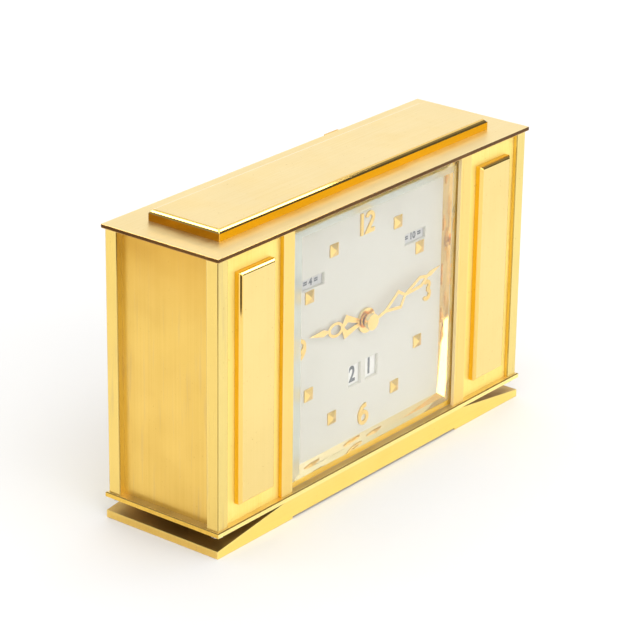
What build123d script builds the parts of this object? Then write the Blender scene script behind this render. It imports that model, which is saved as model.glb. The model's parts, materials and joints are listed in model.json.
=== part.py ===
"""Desk clock in gilt brass with a square dial, calendar windows and a key-wound movement.

Millimetres. X runs to the right seen from the front, Y to the back and Z up. The origin is
the centre of the footprint on the table.
"""

import os
from math import cos, pi, radians, sin

from build123d import *

os.makedirs("parts", exist_ok=True)

# Case
case_width = 176.2
case_depth = 49.6
plate_overhang = 0.9
bottom_plate_thickness = 1.8
top_plate_thickness = 1.6
plate_chamfer = 0.3
foot_height = 8.0
foot_toe_height = 2.85
foot_inset_side = 0.1
foot_inset_front = 0.35
foot_flat_length = 102.0
foot_recess_length = 96.6
foot_recess_depth = 0.8
crown_length = 153.0
crown_depth = 31.2
crown_height = 4.1
crown_chamfer = 1.0
post_side = 5.2
post_chamfer = 0.25
stile_width = 4.8
stile_depth = 5.2
stile_gap = 0.2
front_panel_recess = 1.6
rear_panel_recess = 1.6
panel_thickness = 1.2
side_panel_recess = 2.5
bar_width = 18.5
bar_thickness = 2.8
bar_end_margin = 6.55
bar_chamfer = 0.8

# Glass and the lips that hold it
glass_setback = 0.7
glass_thickness = 2.5
glass_bevel_width = 5.5
glass_bevel_depth = 1.1
glass_clearance = 0.1
lip_width = 1.2
lip_step = 0.1

# Polished reveals between the glass and the dial
reveal_depth = 4.6
reveal_side = 3.2
reveal_bottom = 4.4
reveal_top = 5.4
reveal_rim = 1.8

# Dial
dial_width = 91.4
dial_height = 88.0
dial_edge_cover = 1.5
dial_thickness = 1.2
dial_hole_radius = 2.8
hour_circle_margin = 7.2
day_window_width = 12.4
day_window_height = 4.2
day_window_x = 29.5
day_window_rise = 23.1
date_window_width = 7.2
date_window_height = 8.2
date_window_x = 4.9
date_window_drop = 19.8
window_chamfer = 0.2
dial_foot_radius = 1.0
dial_foot_rise = 39.8
dial_foot_end_gap = 0.1

# Applied marks
numeral_height = 8.2
numeral_stroke = 1.5
numeral_relief = 0.6
digit_one_offset = 2.9
digit_two_offset = 1.7
digit_two_width = 5.2
digit_two_foot_inset = 0.4
digit_three_width = 5.0
digit_six_width = 5.9
digit_two_head_start = 165.0
digit_two_head_sweep = 200.0
digit_three_head_share = 0.86
digit_three_waist_lap = 0.25
digit_three_sweep = 240.0
digit_six_bowl_share = 0.62
digit_six_stem_bend = 0.62
digit_six_stem_tip = 0.72
stud_side = 4.6
stud_base = 0.5
stud_peak = 0.8
plain_hours = (1, 2, 4, 5, 7, 8, 10, 11)

# Hands
minute_angle = 76.3
hour_angle = 276.4
hand_blade = 0.4
hand_stroke = 1.15
minute_boss_radius = 3.05
minute_boss_length = 1.7
minute_neck_radius = 2.25
minute_neck_length = 0.8
minute_blade_step = 0.2
minute_cap = 0.5
glass_to_minute_boss = 0.5
minute_kite_start = 7.6
minute_kite_widest = 16.2
minute_kite_half_width = 3.3
minute_kite_end = 19.5
minute_second_widest = 29.0
minute_second_half_width = 1.8
minute_second_end = 33.2
minute_leaf_widest = 35.0
minute_leaf_half_width = 1.0
minute_tip_overhang = 4.3
hour_boss_radius = 4.65
hour_boss_length = 1.1
hour_boss_to_dial = 0.2
hour_arm_start = 4.0
hour_arm_widest = 12.6
hour_arm_half_width = 4.5
hour_opening_start = 5.2
hour_opening_widest = 11.4
hour_opening_half_width = 1.5
hour_ring_start = 13.9
hour_ring_end = 22.4
hour_ring_half_width = 2.8
hour_ring_hole_length = 6.0
hour_ring_hole_width = 3.6
hour_leaf_widest = 25.0
hour_leaf_half_width = 1.3
hour_tip_gap = 3.65

# Calendar discs and their setters
disc_gap = 0.2
disc_thickness = 0.6
day_disc_radius = 22.0
day_ring_radius = 15.0
date_disc_radius = 24.3
date_ring_radius = 20.0
setter_radius = 1.0
knob_radius = 4.0
knob_length = 6.0
knob_flutes = 12
knob_flute_radius = 0.5
bush_radius = 2.5
bush_length = 8.0
bush_front_gap = 0.4
bush_flange_radius = 3.5
bush_flange_thickness = 1.0

# Movement frame
motion_space = 3.0
movement_plate_thickness = 1.5
movement_plate_height = 86.0
movement_plate_margin = 7.5
plate_spacing = 12.5
pillar_radius = 2.0
pillar_tenon_radius = 1.0
pillar_x = 16.5
pillar_low = 28.2
pillar_high = 29.8
rear_plate_margin = 3.5
rear_plate_end_margin = 4.0
clamp_width = 14.0
clamp_thickness = 1.2
clamp_grip = 8.8
clamp_leg = 8.0
clamp_screw_x = 4.2
clamp_screw_rise = 4.8
clamp_screw_reach = 5.0
small_screw_radius = 0.9
small_screw_head_radius = 1.7
small_screw_head = 1.1
small_screw_tip_gap = 0.3
knob_gap = 4.5

# Wheels: tooth counts and modules
cannon_teeth = 12
motion_wheel_teeth = 36
cannon_module = 0.25
motion_pinion_teeth = 10
hour_wheel_teeth = 40
barrel_teeth = 84
intermediate_pinion_teeth = 14
barrel_module = 0.3
intermediate_wheel_teeth = 72
centre_pinion_teeth = 12
intermediate_module = 0.3
centre_wheel_teeth = 75
third_pinion_teeth = 10
centre_module = 0.24
third_wheel_teeth = 60
third_module = 0.24
tooth_addendum = 0.8
tooth_dedendum = 1.2
tooth_share = 0.42
tooth_tip_share = 0.5
tooth_root_share = 1.25

# Wheel places and widths
motion_direction = 90.0
intermediate_direction = 233.0
barrel_direction = 301.0
third_direction = 54.0
motion_plate_gap = 0.3
motion_wheel_width = 0.8
hour_wheel_gap = 0.7
hour_wheel_width = 0.7
motion_stud_radius = 0.6
motion_stud_overhang = 0.3
cannon_pipe_radius = 1.1
hour_pipe_radius = 2.2
centre_arbor_radius = 0.7
pipe_end_gap = 0.1
arbor_radius = 0.8
pivot_radius = 0.4
end_shake = 0.2
wheel_holes = 5
wheel_hole_radius = 2.0
intermediate_wheel_inset = 1.3
intermediate_wheel_width = 1.2
pinion_side_margin = 0.3
barrel_inset = 3.5
barrel_ring_width = 1.4
barrel_drum_margin = 1.1
barrel_length = 8.0
barrel_wall = 0.8
centre_wheel_inset = 6.5
centre_wheel_width = 1.0
third_wheel_inset = 1.5
third_wheel_width = 0.9
winding_arbor_radius = 1.5
winding_pivot_radius = 1.0
winding_square = 1.9
spring_strip = 0.4
spring_width = 5.0
spring_arbor_gap = 0.7
spring_pitch = 1.0
spring_half_turns = 15
key_hub_radius = 2.6
key_span = 20.0
key_wing_thickness = 1.2
key_wing_step = 1.0
set_knob_radius = 5.0
set_knob_length = 4.0
set_knob_flutes = 18

# Balance
balance_rise = 21.8
balance_radius = 8.0
balance_rim = 1.0
balance_width = 1.0
balance_gap = 1.5
balance_spoke = 1.2
balance_hub_radius = 1.2
staff_radius = 0.4
cock_height = 4.5
cock_thickness = 1.2
cock_foot_start = 10.0
cock_foot_length = 5.5
cock_width = 5.0

# Rear door
door_gap = 0.2
door_thickness = 1.2
hinge_rod_radius = 0.8
hinge_knuckle_radius = 1.5
hinge_setback = 1.5
hinge_rod_seat = 0.8
tab_width = 8.0
tab_centre = 37.0
tab_thickness = 1.05
tab_clearance = 0.25
tab_root_drop = 3.1
tab_root_thickness = 1.2
tab_top_drop = 0.2

# Case screws
screw_radius = 1.2
screw_head_radius = 2.2
screw_head_height = 1.2
screw_length = 5.8
screw_slot_width = 0.6
screw_slot_depth = 0.5
foot_screw_x = 30.0
foot_screw_sink = 3.0

# Clearances
running_clearance = 0.05
seat_clearance = 0.03

# Heights worked out from the sizes above
bottom_plate_top = foot_height + bottom_plate_thickness
body_height = reveal_bottom + dial_height + reveal_top
top_plate_bottom = bottom_plate_top + body_height
top_plate_top = top_plate_bottom + top_plate_thickness
dial_z = bottom_plate_top + reveal_bottom + dial_height / 2

# Hour circle of the dial, and the hands that point to it
hour_circle_radius = min(dial_width, dial_height) / 2 - hour_circle_margin
minute_length = hour_circle_radius + minute_tip_overhang
hour_length = hour_circle_radius - hour_tip_gap

# Places across the clock
case_half = case_width / 2
glass_half = dial_width / 2 + reveal_side
opening_half = glass_half + stile_gap
stile_outer = opening_half + stile_width
post_inner = case_half - post_side
bar_x = (stile_outer + post_inner) / 2

# Depths, from the front to the back
face_y = -case_depth / 2
glass_front = face_y + glass_setback
glass_back = glass_front + glass_thickness
glass_edge = glass_front + glass_bevel_depth
dial_front = glass_back + reveal_depth
dial_back = dial_front + dial_thickness
disc_front = dial_back + disc_gap
disc_back = disc_front + disc_thickness
plate_front = disc_back + motion_space
plate_back = plate_front + movement_plate_thickness
rear_plate_front = plate_back + plate_spacing
rear_plate_back = rear_plate_front + movement_plate_thickness
knob_front = rear_plate_back + knob_gap
knob_back = knob_front + knob_length

# Depths of the motion work and the hands
cannon_back = plate_front - motion_plate_gap
cannon_front = cannon_back - motion_wheel_width
hour_wheel_back = cannon_front - hour_wheel_gap
hour_wheel_front = hour_wheel_back - hour_wheel_width
hour_boss_back = dial_front - hour_boss_to_dial
hour_boss_front = hour_boss_back - hour_boss_length
minute_boss_front = glass_back + glass_to_minute_boss
minute_boss_back = minute_boss_front + minute_boss_length
cannon_pipe_end = minute_boss_front + minute_cap + pipe_end_gap

# Calendar discs: name, centre across, centre up, radius
day_disc_x = day_window_x + day_ring_radius
date_disc_x = date_window_x + date_ring_radius
day_z = dial_z + day_window_rise
date_z = dial_z - date_window_drop
calendar = (
    ("day", -day_disc_x, day_z, day_disc_radius),
    ("month", day_disc_x, day_z, day_disc_radius),
    ("date_tens", -date_disc_x, date_z, date_disc_radius),
    ("date_units", date_disc_x, date_z, date_disc_radius),
)

# Corners, mirrored pairs and their names
sides = (("left", -1), ("right", 1))
corners = tuple(
    (f"{depth_name}_{side_name}", side, depth)
    for depth_name, depth in (("front", -1), ("rear", 1))
    for side_name, side in sides
)
pillar_places = tuple(
    (side * pillar_x, dial_z + rise) for side in (-1, 1) for rise in (-pillar_low, pillar_high)
)


def across(y):
    """Plane across the clock at depth y, seen from the front."""
    return Plane.XZ.offset(-y)


def clock_plane(y, angle):
    """Plane across the clock at the dial's centre, its up direction at a clock angle."""
    turn = radians(angle)
    return Plane(origin=(0, y, dial_z), x_dir=(cos(turn), 0, -sin(turn)), z_dir=(0, -1, 0))


def save(piece, name):
    """Label a finished piece and write its file."""
    piece.part.label = name
    export_step(piece.part, f"parts/{name}.step")


def block(x, y, z, mode=Mode.ADD):
    """Square-edged block between two values along each axis."""
    with Locations((sum(x) / 2, sum(y) / 2, sum(z) / 2)):
        Box(x[1] - x[0], y[1] - y[0], z[1] - z[0], mode=mode)


def rod(at, radius, front, back, mode=Mode.ADD):
    """Round rod from front to back at the place (x, z)."""
    with BuildSketch(across(back)) as section:
        with Locations(at):
            Circle(radius)
    extrude(section.sketch, amount=back - front, mode=mode)


def upright(at, radius, low, high, mode=Mode.ADD):
    """Upright round rod at the place (x, y)."""
    with BuildSketch(Plane.XY.offset(low)) as section:
        with Locations(at):
            Circle(radius)
    extrude(section.sketch, amount=high - low, mode=mode)


def span(half):
    """Range that reaches as far to both sides."""
    return (-half, half)


def mirrored(side, inner, outer):
    """Range across the clock from inner to outer, on the given side."""
    return tuple(sorted((side * inner, side * outer)))


def beside(place, direction, distance):
    """Place at a distance from another one, in a direction counted from the right."""
    turn = radians(direction)
    return (place[0] + distance * cos(turn), place[1] + distance * sin(turn))


def pitch_radius(teeth, module):
    """Radius where the teeth of two wheels meet."""
    return teeth * module / 2


def tip_radius(teeth, module):
    """Outer radius of a toothed wheel."""
    return pitch_radius(teeth, module) + tooth_addendum * module


def meshed_phase(phase, direction, teeth, partner_teeth):
    """Angle of a tooth of the partner whose gap faces a tooth of the first wheel."""
    turn = (phase - direction) * teeth / partner_teeth
    return direction + 180 - turn - 180 / partner_teeth


def gear(at, teeth, module, front, back, phase=0.0):
    """Toothed wheel with straight-sided teeth and some play, one tooth at the phase angle."""
    radius = pitch_radius(teeth, module)
    root = radius - tooth_dedendum * module
    tip = tip_radius(teeth, module)
    half_tooth = tooth_share * pi / teeth
    outline = []
    for number in range(teeth):
        middle = radians(phase) + 2 * pi * number / teeth
        for reach, share in ((root, -tooth_root_share), (tip, -tooth_tip_share),
                             (tip, tooth_tip_share), (root, tooth_root_share)):
            angle = middle + share * half_tooth
            outline.append((reach * cos(angle), reach * sin(angle)))
    with BuildSketch(across(back)) as section:
        with Locations(at):
            Polygon(*outline, align=None)
    extrude(section.sketch, amount=back - front)


# Places of the wheels, as (x, z)
centre = (0, dial_z)
motion_distance = pitch_radius(cannon_teeth + motion_wheel_teeth, cannon_module)
motion_pinion_module = 2 * motion_distance / (motion_pinion_teeth + hour_wheel_teeth)
motion_place = beside(centre, motion_direction, motion_distance)
intermediate_place = beside(
    centre,
    intermediate_direction,
    pitch_radius(intermediate_wheel_teeth + centre_pinion_teeth, intermediate_module),
)
barrel_place = beside(
    intermediate_place,
    barrel_direction,
    pitch_radius(barrel_teeth + intermediate_pinion_teeth, barrel_module),
)
third_place = beside(
    centre, third_direction, pitch_radius(centre_wheel_teeth + third_pinion_teeth, centre_module)
)
balance_place = (0, dial_z + balance_rise)

# Depths of the going train, counted from the back of the front movement plate
intermediate_wheel_front = plate_back + intermediate_wheel_inset
intermediate_wheel_back = intermediate_wheel_front + intermediate_wheel_width
barrel_front = plate_back + barrel_inset
barrel_back = barrel_front + barrel_length
centre_wheel_front = plate_back + centre_wheel_inset
centre_wheel_back = centre_wheel_front + centre_wheel_width
third_wheel_front = plate_back + third_wheel_inset
third_wheel_back = third_wheel_front + third_wheel_width


# Top plate, with blind holes for the hinge rod and the clamp screws
hinge_x = -opening_half + door_gap + hinge_knuckle_radius
hinge_y = -face_y - hinge_setback
plate_half_x = case_half + plate_overhang
plate_half_y = case_depth / 2 + plate_overhang
clamp_screw_y = plate_back + clamp_screw_reach
with BuildPart() as top_plate:
    block(span(plate_half_x), span(plate_half_y), (top_plate_bottom, top_plate_top))
    chamfer(top_plate.faces().sort_by(Axis.Z)[0].edges(), length=plate_chamfer)
    upright((hinge_x, hinge_y), hinge_rod_radius + seat_clearance,
            top_plate_bottom, top_plate_bottom + hinge_rod_seat, mode=Mode.SUBTRACT)
    for side_name, side in sides:
        upright((side * clamp_screw_x, clamp_screw_y), small_screw_radius + seat_clearance,
                top_plate_bottom, top_plate_top - small_screw_tip_gap, mode=Mode.SUBTRACT)
save(top_plate, "top_plate")

# Crown block on the top plate
with BuildPart() as crown_block:
    block(span(crown_length / 2), span(crown_depth / 2),
          (top_plate_top, top_plate_top + crown_height))
    chamfer(crown_block.faces().sort_by(Axis.Z)[-1].edges(), length=crown_chamfer)
save(crown_block, "crown_block")

# Bottom plate, with holes for the post screws, the foot screws, the clamps and the hinge rod
post_x = case_half - post_side / 2
post_y = case_depth / 2 - post_side / 2
screw_places = tuple((side * post_x, depth * post_y) for name, side, depth in corners)
foot_screw_places = tuple((side * foot_screw_x, 0) for name, side in sides)
foot_screw_seat = foot_recess_depth + foot_screw_sink
foot_screw_tip = foot_screw_seat + screw_length
with BuildPart() as bottom_plate:
    block(span(plate_half_x), span(plate_half_y), (foot_height, bottom_plate_top))
    chamfer(bottom_plate.faces().sort_by(Axis.Z)[-1].edges(), length=plate_chamfer)
    for place in screw_places:
        upright(place, screw_radius + seat_clearance, foot_height, bottom_plate_top,
                mode=Mode.SUBTRACT)
    for place in foot_screw_places:
        upright(place, screw_radius + seat_clearance, foot_height, foot_screw_tip,
                mode=Mode.SUBTRACT)
    for side_name, side in sides:
        upright((side * clamp_screw_x, clamp_screw_y), small_screw_radius + seat_clearance,
                foot_height + small_screw_tip_gap, bottom_plate_top, mode=Mode.SUBTRACT)
    upright((hinge_x, hinge_y), hinge_rod_radius + seat_clearance,
            bottom_plate_top - hinge_rod_seat, bottom_plate_top, mode=Mode.SUBTRACT)
save(bottom_plate, "bottom_plate")

# Foot plate: flat in the middle, sloping down to thin toes, hollowed underneath
foot_half_x = plate_half_x - foot_inset_side
foot_half_y = plate_half_y - foot_inset_front
with BuildPart() as foot_plate:
    with BuildSketch(across(foot_half_y)):
        with BuildLine():
            Polyline(
                (0, foot_recess_depth),
                (foot_recess_length / 2, foot_recess_depth),
                (foot_recess_length / 2, 0),
                (foot_half_x, 0),
                (foot_half_x, foot_toe_height),
                (foot_flat_length / 2, foot_height),
                (0, foot_height),
            )
            mirror(about=Plane.YZ)
        make_face()
    extrude(amount=2 * foot_half_y)
    for place in foot_screw_places:
        upright(place, screw_radius + seat_clearance, foot_recess_depth, foot_height,
                mode=Mode.SUBTRACT)
        upright(place, screw_head_radius + seat_clearance, foot_recess_depth, foot_screw_seat,
                mode=Mode.SUBTRACT)
save(foot_plate, "foot_plate")

# Corner posts, each with a screw hole in its foot
for corner_name, side, depth in corners:
    with BuildPart() as post:
        block(mirrored(side, post_inner, case_half),
              mirrored(depth, case_depth / 2 - post_side, case_depth / 2),
              (bottom_plate_top, top_plate_bottom))
        chamfer(post.edges().filter_by(Axis.Z), length=post_chamfer)
        upright((side * post_x, depth * post_y), screw_radius + seat_clearance,
                bottom_plate_top, foot_height + screw_length + small_screw_tip_gap,
                mode=Mode.SUBTRACT)
    save(post, f"corner_post_{corner_name}")

# Front stiles, each with a lip in front of the bevelled edge of the glass
lip_front = face_y + lip_step
lip_inner = opening_half - lip_width
lip_reach = glass_half - lip_inner
lip_back = glass_edge - glass_bevel_depth * lip_reach / glass_bevel_width - glass_clearance
for side_name, side in sides:
    with BuildPart() as front_stile:
        block(mirrored(side, opening_half, stile_outer), (face_y, face_y + stile_depth),
              (bottom_plate_top, top_plate_bottom))
        block(mirrored(side, lip_inner, opening_half), (lip_front, lip_back),
              (bottom_plate_top, top_plate_bottom))
    save(front_stile, f"front_stile_{side_name}")

# Rear stiles beside the door
for side_name, side in sides:
    with BuildPart() as rear_stile:
        block(mirrored(side, opening_half, stile_outer), (-face_y - stile_depth, -face_y),
              (bottom_plate_top, top_plate_bottom))
    save(rear_stile, f"rear_stile_{side_name}")

# Front panels and the raised bars on them
panel_front = face_y + front_panel_recess
for side_name, side in sides:
    with BuildPart() as front_panel:
        block(mirrored(side, stile_outer, post_inner), (panel_front, panel_front + panel_thickness),
              (bottom_plate_top, top_plate_bottom))
    save(front_panel, f"front_panel_{side_name}")
    with BuildPart() as raised_bar:
        block(mirrored(side, bar_x - bar_width / 2, bar_x + bar_width / 2),
              (panel_front - bar_thickness, panel_front),
              (bottom_plate_top + bar_end_margin, top_plate_bottom - bar_end_margin))
        chamfer(raised_bar.faces().sort_by(Axis.Y)[0].edges(), length=bar_chamfer)
    save(raised_bar, f"raised_bar_{side_name}")

# Side and rear panels
panel_back = -face_y - rear_panel_recess
side_panel_outer = case_half - side_panel_recess
side_panel_half = case_depth / 2 - post_side
for side_name, side in sides:
    with BuildPart() as side_panel:
        block(mirrored(side, side_panel_outer - panel_thickness, side_panel_outer),
              span(side_panel_half), (bottom_plate_top, top_plate_bottom))
    save(side_panel, f"side_panel_{side_name}")
    with BuildPart() as rear_panel:
        block(mirrored(side, stile_outer, post_inner), (panel_back - panel_thickness, panel_back),
              (bottom_plate_top, top_plate_bottom))
    save(rear_panel, f"rear_panel_{side_name}")

# Glass with a wide bevel round its front
glass_low = bottom_plate_top + glass_clearance
glass_high = top_plate_bottom - glass_clearance
glass_middle = (0, (glass_low + glass_high) / 2)
glass_height = glass_high - glass_low
with BuildPart() as dial_glass:
    with BuildSketch(across(glass_back)):
        with Locations(glass_middle):
            Rectangle(2 * glass_half, glass_height)
    extrude(amount=glass_back - glass_edge)
    with BuildSketch(across(glass_edge)):
        with Locations(glass_middle):
            Rectangle(2 * glass_half, glass_height)
    with BuildSketch(across(glass_front)):
        with Locations(glass_middle):
            Rectangle(2 * (glass_half - glass_bevel_width), glass_height - 2 * glass_bevel_width)
    loft(ruled=True)
save(dial_glass, "dial_glass")

# Reveals: four flared strips with a flat rim behind the glass, mitred at the corners
frame_outer = (glass_half, bottom_plate_top, top_plate_bottom)
frame_inner = (dial_width / 2, bottom_plate_top + reveal_bottom, top_plate_bottom - reveal_top)
rim_share = reveal_rim / reveal_side


def frame_corners(share):
    """Corners of the frame's opening, part of the way from its outer to its inner edge."""
    half, low, high = (
        outer + share * (inner - outer) for outer, inner in zip(frame_outer, frame_inner)
    )
    return ((-half, low), (half, low), (half, high), (-half, high))


for number, strip_name in enumerate(("bottom", "right", "top", "left")):
    following = (number + 1) % 4
    with BuildPart() as reveal:
        for depth, share in ((dial_front, 1.0), (glass_back, rim_share)):
            outer_edge = frame_corners(0.0)
            inner_edge = frame_corners(share)
            with BuildSketch(across(depth)):
                with BuildLine():
                    Polyline(outer_edge[number], outer_edge[following],
                             inner_edge[following], inner_edge[number], close=True)
                make_face()
        loft(ruled=True)
    save(reveal, f"reveal_{strip_name}")

# Dial plate with its windows and the two feet that hold it
plate_low = dial_z - dial_height / 2 - dial_edge_cover
plate_high = dial_z + dial_height / 2 + dial_edge_cover
windows = (
    (-day_window_x, day_z, day_window_width, day_window_height),
    (day_window_x, day_z, day_window_width, day_window_height),
    (-date_window_x, date_z, date_window_width, date_window_height),
    (date_window_x, date_z, date_window_width, date_window_height),
)
foot_places = ((0, dial_z - dial_foot_rise), (0, dial_z + dial_foot_rise))
with BuildPart() as dial_plate:
    block(span(dial_width / 2 + dial_edge_cover), (dial_front, dial_back), (plate_low, plate_high))
    rod(centre, dial_hole_radius, dial_front, dial_back, mode=Mode.SUBTRACT)
    for x, z, width, height in windows:
        with BuildSketch(across(dial_back)):
            with Locations((x, z)):
                Rectangle(width, height)
        extrude(amount=dial_thickness, mode=Mode.SUBTRACT)
    window_edges = dial_plate.faces().sort_by(Axis.Y)[0].inner_wires().edges()
    chamfer(window_edges.filter_by(GeomType.LINE), length=window_chamfer)
    for place in foot_places:
        rod(place, dial_foot_radius, dial_back, plate_back - dial_foot_end_gap)
save(dial_plate, "dial_plate")


def digit_one():
    """Middle lines of the digit 1: an upright stroke."""
    Line((0, -numeral_height / 2), (0, numeral_height / 2))


def digit_two():
    """Middle lines of the digit 2: a round head, a slanted neck and a flat foot."""
    half = (digit_two_width - numeral_stroke) / 2
    low = (numeral_stroke - numeral_height) / 2
    head = CenterArc((0, -low - half), half, digit_two_head_start, -digit_two_head_sweep)
    neck = Line(head @ 1, (digit_two_foot_inset - half, low))
    Line(neck @ 1, (half + numeral_stroke / 2, low))


def digit_three():
    """Middle lines of the digit 3: two open bowls that overlap at the waist."""
    half = (digit_three_width - numeral_stroke) / 2
    high = (numeral_height - numeral_stroke) / 2
    waist = numeral_stroke / 4
    lap = numeral_stroke * digit_three_waist_lap / 2
    upper = (high - waist - lap) / 2
    lower = (high + waist - lap) / 2
    EllipticalCenterArc((0, high - upper), half * digit_three_head_share, upper,
                        start_angle=-90, arc_size=digit_three_sweep)
    EllipticalCenterArc((0, lower - high), half, lower,
                        start_angle=90 - digit_three_sweep, arc_size=digit_three_sweep)


def digit_six():
    """Middle lines of the digit 6: a closed bowl and a curved stem."""
    half = (digit_six_width - numeral_stroke) / 2
    high = (numeral_height - numeral_stroke) / 2
    bowl = digit_six_bowl_share * high
    EllipticalCenterArc((0, bowl - high), half, bowl, start_angle=0, arc_size=360)
    bend = digit_six_stem_bend
    ThreePointArc((-half, bowl - high), (-half * bend, high * bend),
                  (half * digit_six_stem_tip, high))


# Hour numerals 12, 3, 6 and 9, standing upright on the dial
numerals = (
    (digit_one, -digit_one_offset, hour_circle_radius, 0),
    (digit_two, digit_two_offset, hour_circle_radius, 0),
    (digit_three, hour_circle_radius, 0, 0),
    (digit_six, 0, -hour_circle_radius, 0),
    (digit_six, -hour_circle_radius, 0, 180),
)
with BuildPart() as hour_numerals:
    for draw_digit, x, rise, turn in numerals:
        with BuildSketch(across(dial_front)):
            with BuildLine() as middle_line:
                draw_digit()
            digit = trace(middle_line.line, line_width=numeral_stroke, mode=Mode.PRIVATE)
            with Locations(Location((x, dial_z + rise, 0), (0, 0, turn))):
                add(digit.faces())
        extrude(amount=numeral_relief)
save(hour_numerals, "hour_numerals")

# Square studs at the other hours, each with a low pyramid on it
with BuildPart() as hour_studs:
    for hour in plain_hours:
        turn = radians(30 * hour)
        place = (hour_circle_radius * sin(turn), dial_z + hour_circle_radius * cos(turn))
        with BuildSketch(across(dial_front)):
            with Locations(place):
                Rectangle(stud_side, stud_side)
        extrude(amount=stud_base)
        peak = Vertex(place[0], dial_front - stud_base - stud_peak, place[1])
        with BuildSketch(across(dial_front - stud_base), mode=Mode.PRIVATE) as stud_top:
            with Locations(place):
                Rectangle(stud_side, stud_side)
        loft(sections=[stud_top.sketch.face(), peak])
save(hour_studs, "hour_studs")


def hand_strokes(points):
    """Thin bars of a hand along a line of points and along its mirror image."""
    with BuildLine(mode=Mode.PRIVATE) as stroke:
        Polyline(*points)
    half = trace(stroke.line, line_width=hand_stroke, mode=Mode.PRIVATE)
    add(half.faces())
    add(mirror(half, about=Plane.YZ, mode=Mode.PRIVATE).faces())


def leaf(start, widest, half_width, tip):
    """Pointed leaf of a hand."""
    Polygon((0, start), (half_width, widest), (0, tip), (-half_width, widest), align=None)


# Minute hand: two open kites and a pointed leaf on a round boss with a neck
minute_blade_front = minute_boss_front + minute_blade_step
with BuildPart() as minute_hand:
    with BuildSketch(clock_plane(minute_blade_front + hand_blade, minute_angle)):
        with Locations((0, minute_kite_start / 2)):
            Rectangle(hand_stroke, minute_kite_start)
        hand_strokes(((0, minute_kite_start), (minute_kite_half_width, minute_kite_widest),
                      (0, minute_kite_end)))
        hand_strokes(((0, minute_kite_end), (minute_second_half_width, minute_second_widest),
                      (0, minute_second_end)))
        leaf(minute_second_end - hand_stroke, minute_leaf_widest, minute_leaf_half_width,
             minute_length)
    extrude(amount=hand_blade)
    rod(centre, minute_boss_radius, minute_boss_front, minute_boss_back)
    rod(centre, minute_neck_radius, minute_boss_back, minute_boss_back + minute_neck_length)
    rod(centre, cannon_pipe_radius + seat_clearance, minute_boss_front + minute_cap,
        minute_boss_back + minute_neck_length, mode=Mode.SUBTRACT)
save(minute_hand, "minute_hand")

# Hour hand: two spread wings with an opening, an oval ring and a pointed leaf on a wide boss
hour_ring_middle = (hour_ring_start + hour_ring_end) / 2
with BuildPart() as hour_hand:
    with BuildSketch(clock_plane(hour_boss_front + hand_blade, hour_angle)):
        for across_hand in (-1, 1):
            Polygon((0, hour_arm_start), (across_hand * hand_stroke, hour_arm_start),
                    (across_hand * hour_arm_half_width, hour_arm_widest),
                    (0, hour_ring_start + hand_stroke), align=None)
        Polygon((0, hour_opening_start), (hour_opening_half_width, hour_opening_widest),
                (0, hour_ring_start - hand_stroke / 2),
                (-hour_opening_half_width, hour_opening_widest), align=None,
                mode=Mode.SUBTRACT)
        with Locations((0, hour_ring_middle)):
            Ellipse(hour_ring_half_width, (hour_ring_end - hour_ring_start) / 2)
            Ellipse(hour_ring_hole_width / 2, hour_ring_hole_length / 2, mode=Mode.SUBTRACT)
        leaf(hour_ring_end - hand_stroke, hour_leaf_widest, hour_leaf_half_width, hour_length)
    extrude(amount=hand_blade)
    rod(centre, hour_boss_radius, hour_boss_front, hour_boss_back)
    rod(centre, hour_pipe_radius + seat_clearance, hour_boss_front, hour_boss_back,
        mode=Mode.SUBTRACT)
save(hour_hand, "hour_hand")

# Motion work: cannon pinion, motion wheel and hour wheel
with BuildPart() as cannon_pinion:
    gear(centre, cannon_teeth, cannon_module, cannon_front, cannon_back)
    rod(centre, cannon_pipe_radius, cannon_pipe_end, cannon_back)
    rod(centre, centre_arbor_radius + seat_clearance, cannon_pipe_end, cannon_back,
        mode=Mode.SUBTRACT)
save(cannon_pinion, "cannon_pinion")

motion_wheel_phase = meshed_phase(0, motion_direction, cannon_teeth, motion_wheel_teeth)
hour_wheel_phase = meshed_phase(
    0, motion_direction + 180, motion_pinion_teeth, hour_wheel_teeth
)
with BuildPart() as motion_wheel:
    gear(motion_place, motion_wheel_teeth, cannon_module, cannon_front, cannon_back,
         motion_wheel_phase)
    gear(motion_place, motion_pinion_teeth, motion_pinion_module, hour_wheel_front, cannon_front)
    rod(motion_place, motion_stud_radius + running_clearance, hour_wheel_front, cannon_back,
        mode=Mode.SUBTRACT)
save(motion_wheel, "motion_wheel")

with BuildPart() as hour_wheel:
    gear(centre, hour_wheel_teeth, motion_pinion_module, hour_wheel_front, hour_wheel_back,
         hour_wheel_phase)
    rod(centre, hour_pipe_radius, hour_boss_front + pipe_end_gap, hour_wheel_back)
    rod(centre, cannon_pipe_radius + running_clearance, hour_boss_front + pipe_end_gap,
        hour_wheel_back, mode=Mode.SUBTRACT)
save(hour_wheel, "hour_wheel")

# Centre wheel with its pinion on the arbor that carries the minute hand and the set knob
centre_pinion_phase = meshed_phase(
    0, intermediate_direction + 180, intermediate_wheel_teeth, centre_pinion_teeth
)
arbor_front = plate_back + end_shake
arbor_back = rear_plate_front - end_shake
with BuildPart() as centre_wheel:
    rod(centre, centre_arbor_radius, cannon_pipe_end + pipe_end_gap, knob_front)
    gear(centre, centre_pinion_teeth, intermediate_module,
         intermediate_wheel_front - pinion_side_margin,
         intermediate_wheel_back + pinion_side_margin, centre_pinion_phase)
    gear(centre, centre_wheel_teeth, centre_module, centre_wheel_front, centre_wheel_back)
    with BuildSketch(across(centre_wheel_back)):
        with Locations(centre):
            with PolarLocations(pitch_radius(centre_wheel_teeth, centre_module) / 2, wheel_holes):
                Circle(wheel_hole_radius)
    extrude(amount=centre_wheel_width, mode=Mode.SUBTRACT)
save(centre_wheel, "centre_wheel")

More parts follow.
